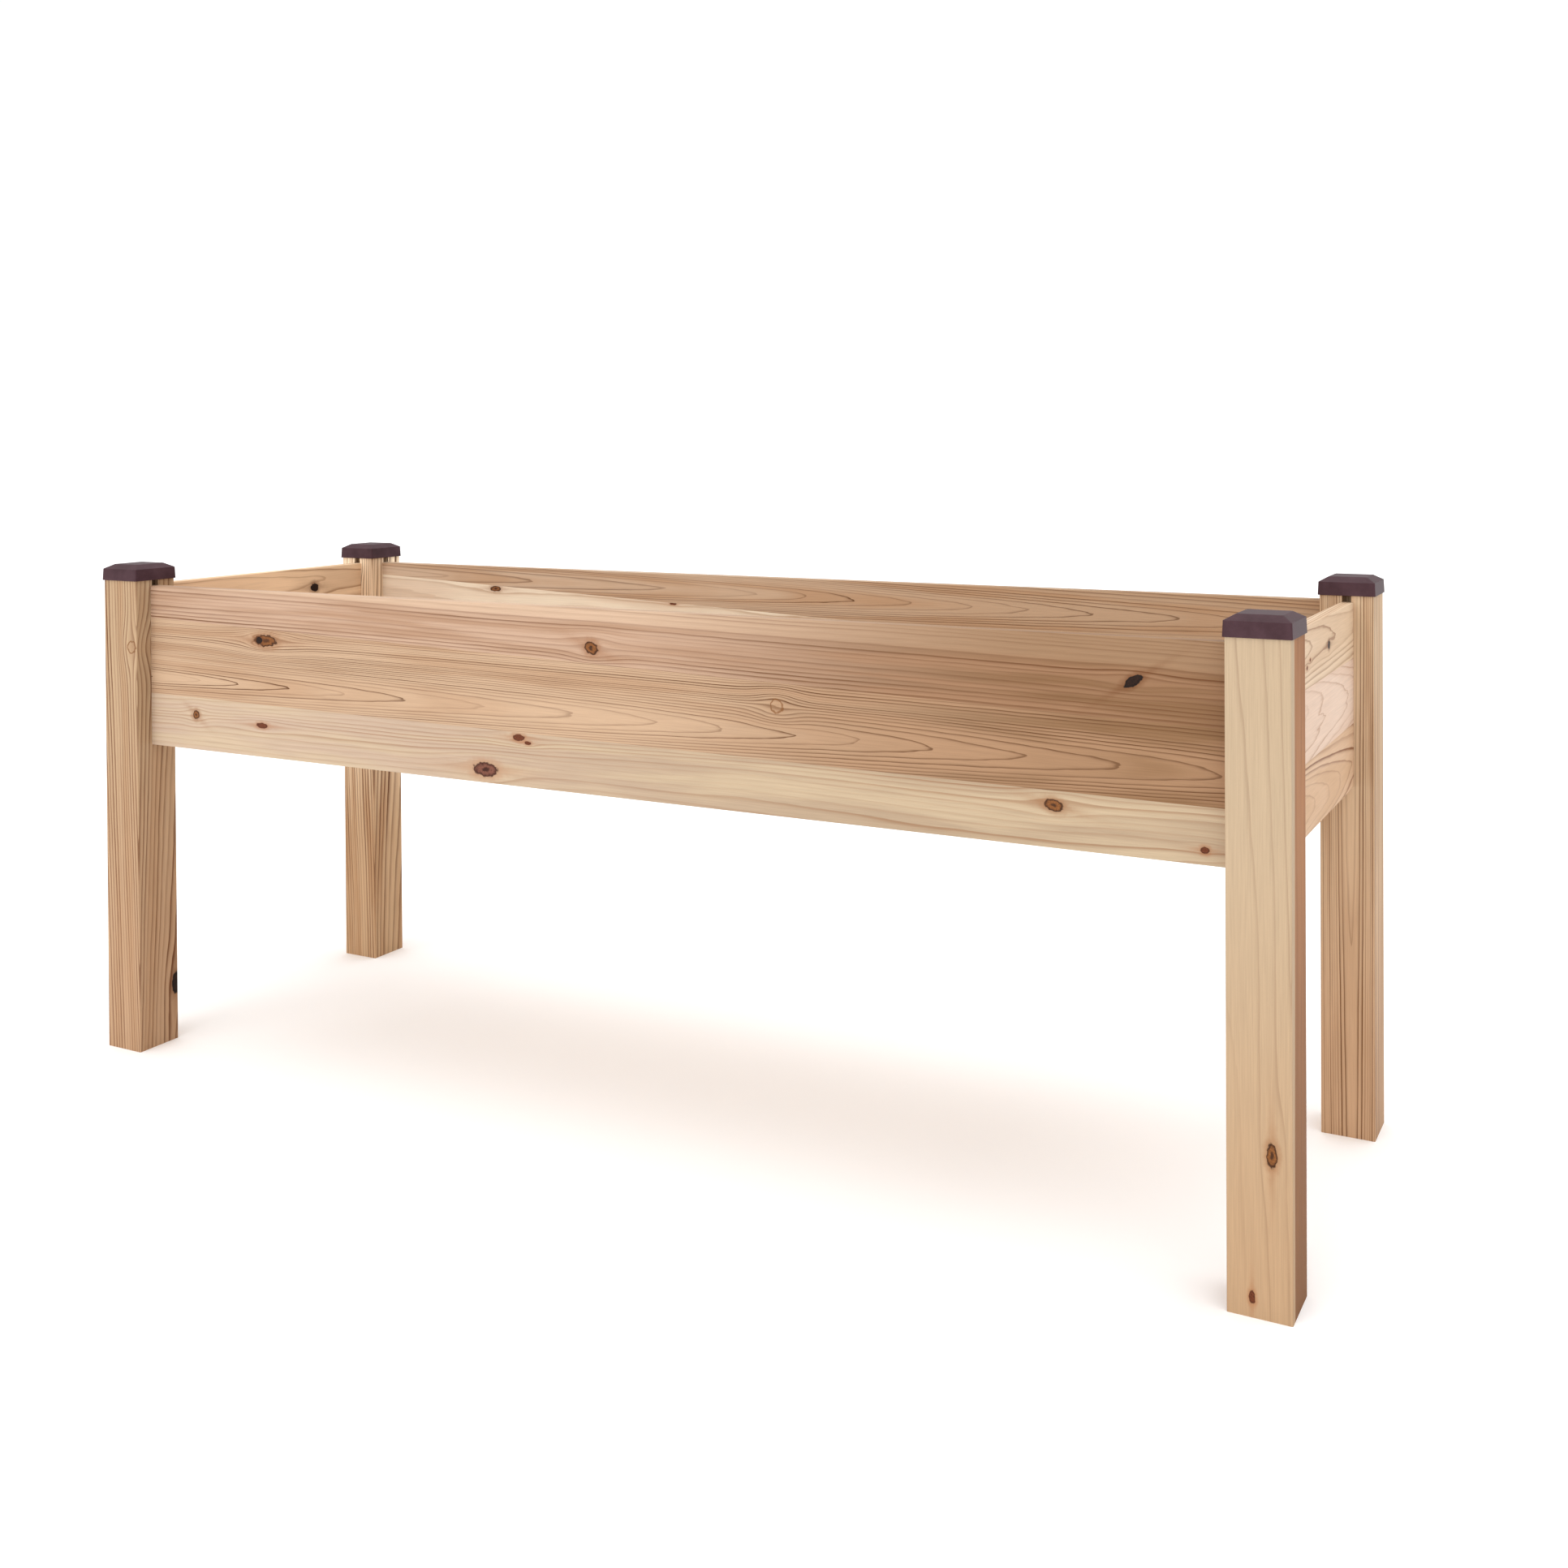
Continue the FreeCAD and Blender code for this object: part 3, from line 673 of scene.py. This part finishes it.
def liftTo(shape, faces, height, side):
    # draws faces up (or in), and returns the new end faces
    grown = bmesh.ops.extrude_face_region(shape, geom=faces)
    drawTo(grown, height, side)
    bmesh.ops.delete(shape, geom=faces, context="FACES_ONLY")
    return newItems(grown, bmesh.types.BMFace)


def level(item, height):
    # whether a whole edge or face lies at a height
    return all(abs(point.co.z - height) < capLook["slack"] for point in item.verts)


def softened(shape, edges, radius, steps):
    bmesh.ops.bevel(shape, geom=edges, offset=radius, segments=steps, profile=0.5, affect="EDGES",
                    material=-1)


def addRibs(shape):
    # crossed ribs: the ceiling is cut into strips, and the strips in the middle grow down to the leg
    look = capLook
    for axis in (Vector((1, 0, 0)), Vector((0, 1, 0))):
        for place in (-look["ribHalf"], look["ribHalf"]):
            ceiling = [face for face in shape.faces if level(face, look["ceiling"])]
            cut = ceiling + list(dict.fromkeys(edge for face in ceiling for edge in face.edges))
            cut += list(dict.fromkeys(point for face in ceiling for point in face.verts))
            bmesh.ops.bisect_plane(shape, geom=cut, plane_co=axis * place, plane_no=axis)
    cross = []
    for face in shape.faces:
        middle = face.calc_center_median()
        if level(face, look["ceiling"]) and min(abs(middle.x), abs(middle.y)) < look["ribHalf"]:
            cross.append(face)
    grown = bmesh.ops.extrude_face_region(shape, geom=cross)
    for point in newItems(grown, bmesh.types.BMVert):
        point.co.z = look["ribFoot"]
    bmesh.ops.delete(shape, geom=cross, context="FACES_ONLY")


def makeCap(corner, plastic):
    low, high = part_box("cap_" + corner)
    top = high[2] - low[2]
    look = capLook
    shape = bmesh.new()
    bmesh.ops.create_grid(shape, x_segments=1, y_segments=1, size=(high[0] - low[0]) / 2)
    rim = liftTo(shape, shape.faces[:], 0.0, look["fitSide"])
    socket = liftTo(shape, rim, look["innerTop"], look["fitSide"])
    liftTo(shape, socket, look["ceiling"], look["ceilingSide"])
    addRibs(shape)

    # the outside: skirt, chamfer and flat top
    foot = [edge for edge in shape.edges if edge.is_boundary]
    skirt = bmesh.ops.extrude_edge_only(shape, edges=foot)
    drawTo(skirt, look["skirtTop"], look["skirtSide"])
    chamfer = bmesh.ops.extrude_edge_only(shape, edges=newItems(skirt, bmesh.types.BMEdge))
    drawTo(chamfer, top, look["flatSide"])
    bmesh.ops.holes_fill(shape, edges=[edge for edge in shape.edges if edge.is_boundary], sides=4)
    bmesh.ops.recalc_face_normals(shape, faces=shape.faces[:])

    outside = look["fitSide"] / 2 + look["slack"]
    hips = [edge for edge in shape.edges
            if abs(edge.verts[0].co.z - edge.verts[1].co.z) > look["slack"]
            and all(point.co.z > look["ceiling"] or max(abs(point.co.x), abs(point.co.y)) > outside
                    for point in edge.verts)]
    softened(shape, hips, *look["corners"])
    outlines = [edge for edge in shape.edges if level(edge, look["skirtTop"]) or level(edge, top)]
    softened(shape, outlines, *look["edges"])
    rimEdges = [edge for edge in shape.edges if level(edge, 0.0) and len(edge.link_faces) == 2
                and edge.calc_face_angle() > look["rimAngle"]]
    softened(shape, rimEdges, *look["rim"])
    bmesh.ops.translate(shape, verts=shape.verts[:],
                        vec=((low[0] + high[0]) / 2, (low[1] + high[1]) / 2, low[2]))
    mesh = bpy.data.meshes.new("moulded_cap_" + corner)
    shape.to_mesh(mesh)
    shape.free()
    mesh.materials.append(plastic)
    piece = bpy.data.objects.new("moulded_cap_" + corner, mesh)
    bpy.context.collection.objects.link(piece)
    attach(piece, corner + "_cap")
    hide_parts("cap_" + corner)


plastic = mouldedPlastic()
for corner in cornerNames:
    makeCap(corner, plastic)
print("caps moulded")

# Floor, light and camera
studio = {
    "floor": {"size": 30.0, "colour": "#fdfdfd", "roughness": 0.9, "sheen": 0.0},
    "sky": 0.85, "skySeen": 1.02,       # the white light all round, and how bright the camera sees it
    "lights": {
        "key": {"from": (-0.7, -4.6, 1.6), "spread": 45.0, "power": 1.0},
        "top": {"from": (0.3, 0.0, 4.0), "spread": 80.0, "power": 1.7},
    },
    "camera": {"at": (1.3078, -2.0548, 0.9580), "turn": 26.855, "tilt": 0.539, "roll": 0.33,
               "lens": 37.58, "sensor": 36.0, "shiftX": -0.0497, "shiftY": -0.2124},
}


def layFloor():
    # Matt emulsion paint: pale and without a shine
    look = studio["floor"]
    mesh = bpy.data.meshes.new("studioFloor")
    shape = bmesh.new()
    bmesh.ops.create_grid(shape, x_segments=1, y_segments=1, size=look["size"] / 2)
    shape.to_mesh(mesh)
    shape.free()
    floor = bpy.data.objects.new("studioFloor", mesh)
    bpy.context.collection.objects.link(floor)
    paint, tree = newMaterial("palePaintedFloor")
    shader = addNode(tree, "BsdfPrincipled", {
        "Base Color": linear(look["colour"]), "Roughness": look["roughness"],
        "Specular IOR Level": look["sheen"],
    })
    addNode(tree, "OutputMaterial", {"Surface": shader})
    mesh.materials.append(paint)


def lightStudio():
    # a white world that the camera sees a little brighter than the planter does, and two broad suns
    world = bpy.data.worlds.new("paleStudio")
    world.use_nodes = True
    world.node_tree.nodes.clear()
    add = partial(addNode, world.node_tree)
    seen = add("LightPath").outputs["Is Camera Ray"]
    strength = add("MapRange", {"Value": seen, "To Min": studio["sky"], "To Max": studio["skySeen"]})
    backdrop = add("Background", {"Color": (1, 1, 1, 1), "Strength": strength})
    add("OutputWorld", {"Surface": backdrop})
    bpy.context.scene.world = world
    for name, look in studio["lights"].items():
        lamp = bpy.data.lights.new(name + "Light", "SUN")
        lamp.angle = math.radians(look["spread"])
        lamp.energy = look["power"]
        light = bpy.data.objects.new(name + "Light", lamp)
        light.location = look["from"]
        light.rotation_euler = Vector(look["from"]).to_track_quat("Z", "Y").to_euler()
        bpy.context.collection.objects.link(light)


def setCamera():
    look = studio["camera"]
    data = bpy.data.cameras.new("studioCamera")
    data.sensor_width = look["sensor"]
    data.lens = look["lens"]
    data.shift_x, data.shift_y = look["shiftX"], look["shiftY"]
    camera = bpy.data.objects.new("studioCamera", data)
    camera.location = look["at"]
    camera.rotation_euler = (math.radians(90 - look["tilt"]), math.radians(look["roll"]),
                             math.radians(look["turn"]))
    bpy.context.collection.objects.link(camera)
    bpy.context.scene.camera = camera
    bpy.context.scene.view_settings.view_transform = "Standard"


layFloor()
lightStudio()
setCamera()
print("studio ready")
